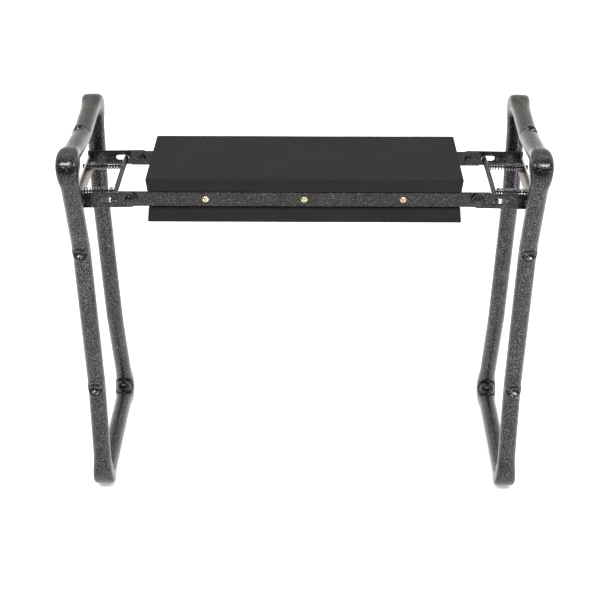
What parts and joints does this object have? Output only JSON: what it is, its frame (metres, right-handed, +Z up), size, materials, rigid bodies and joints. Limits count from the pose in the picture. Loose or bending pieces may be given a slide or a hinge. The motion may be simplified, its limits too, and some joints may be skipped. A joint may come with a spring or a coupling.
{
  "type": "garden kneeler seat",
  "caption": "Folding garden kneeler and bench: a double-sided foam pad on steel rails between bent-tube end frames that fold in under it when spring-loaded lock bars are pulled.",
  "frame": {"origin": "on the floor under the middle of the seat", "axes": "+Z up, +X to the right-hand end frame, -Y to the front; the long seat runs along X"},
  "size_m": [0.6086, 0.2522, 0.5076],
  "materials": {
    "frame_paint": "dark grey-brown hammertone enamel, glossy with fine light flecks",
    "bracket_paint": "darker blue-black hammertone enamel",
    "foam": "charcoal closed-cell foam with fine ribs, matt",
    "core_board": "black moulded board, matt",
    "brass": "brass-plated screw, satin with worn edges",
    "spring_steel": "dark bright-edged spring wire",
    "black_steel": "black oxide rod with a flat head"
  },
  "bodies": {
    "seat": {"front_rail": "bracket_paint", "rear_rail": "bracket_paint", "core_board": "core_board", "upper_foam": "foam", "lower_foam": "foam", "front_screw_left": "brass", "front_screw_middle": "brass", "front_screw_right": "brass", "rear_screw_left": "brass", "rear_screw_middle": "brass", "rear_screw_right": "brass", "left_front_rivet": "bracket_paint", "left_rear_rivet": "bracket_paint", "right_front_rivet": "bracket_paint", "right_rear_rivet": "bracket_paint"},
    "left_frame": {"left_frame_loop": "frame_paint", "left_spring_anchor": "frame_paint", "left_front_bracket_plate": "bracket_paint", "left_front_standoff": "frame_paint", "left_front_spring": "spring_steel", "left_rear_bracket_plate": "bracket_paint", "left_rear_standoff": "frame_paint", "left_rear_spring": "spring_steel"},
    "left_lock": {"left_lock_bar": "frame_paint", "left_front_guide_rod": "black_steel", "left_rear_guide_rod": "black_steel"},
    "right_frame": {"right_frame_loop": "frame_paint", "right_spring_anchor": "frame_paint", "right_front_bracket_plate": "bracket_paint", "right_front_standoff": "frame_paint", "right_front_spring": "spring_steel", "right_rear_bracket_plate": "bracket_paint", "right_rear_standoff": "frame_paint", "right_rear_spring": "spring_steel"},
    "right_lock": {"right_lock_bar": "frame_paint", "right_front_guide_rod": "black_steel", "right_rear_guide_rod": "black_steel"}
  },
  "joints": [
    {"name": "left_fold", "type": "hinge", "parent": "seat", "child": "left_frame", "pos_m": [-0.222, 0, 0.4274], "axis": [0, -1, 0], "range_deg": [0, 91.9]},
    {"name": "right_fold", "type": "hinge", "parent": "seat", "child": "right_frame", "pos_m": [0.222, 0, 0.4274], "axis": [0, 1, 0], "range_deg": [0, 81]},
    {"name": "left_release", "type": "slide", "parent": "left_frame", "child": "left_lock", "axis": [-0.9998, 0, -0.02], "range_m": [0, 0.0105], "stiffness_N_per_m": 800, "springref_m": -0.01, "deforming": ["left_front_spring", "left_rear_spring"]},
    {"name": "right_release", "type": "slide", "parent": "right_frame", "child": "right_lock", "axis": [0.9998, 0, -0.02], "range_m": [0, 0.0105], "stiffness_N_per_m": 800, "springref_m": -0.01, "deforming": ["right_front_spring", "right_rear_spring"]}
  ]
}
